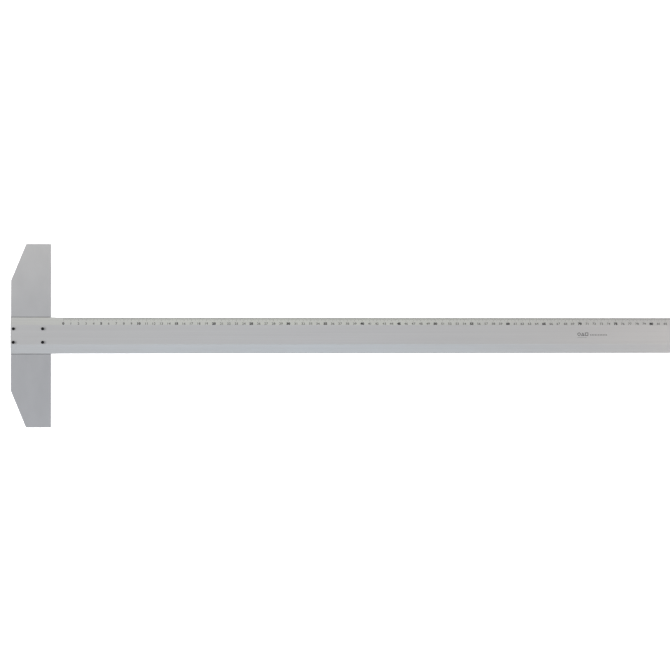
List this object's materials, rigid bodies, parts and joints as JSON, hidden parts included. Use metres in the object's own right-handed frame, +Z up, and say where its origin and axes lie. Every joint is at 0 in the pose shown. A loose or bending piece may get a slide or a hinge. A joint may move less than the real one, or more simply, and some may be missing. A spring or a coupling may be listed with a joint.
{
  "type": "t square",
  "caption": "Fixed-head aluminium T square: a long blade with bevelled edges and a centimetre scale, screwed on top of a flat cross head with slanted outer corners.",
  "frame": {"origin": "on the head's guide edge, at the blade's centreline, level with the blade's underside and so with the drawing board's surface", "axes": "+X along the blade away from the head and square to the guide edge, +Y towards the edge with the scale, +Z up out of the drawing board"},
  "size_m": [1.086, 0.245, 0.0086],
  "materials": {
    "blade_aluminium": "satin clear-anodised extrusion with fine lengthwise lines and a printed black scale",
    "head_aluminium": "matt clear-anodised plate",
    "black_screws": "black-finished steel",
    "printed_ink": "matt black printing ink of the scale, which only the visual model has"
  },
  "bodies": {
    "root": {"blade": "blade_aluminium", "head_plate": "head_aluminium", "screw_outer_scale_side": "black_screws", "screw_outer_plain_side": "black_screws", "screw_inner_scale_side": "black_screws", "screw_inner_plain_side": "black_screws"}
  },
  "joints": []
}
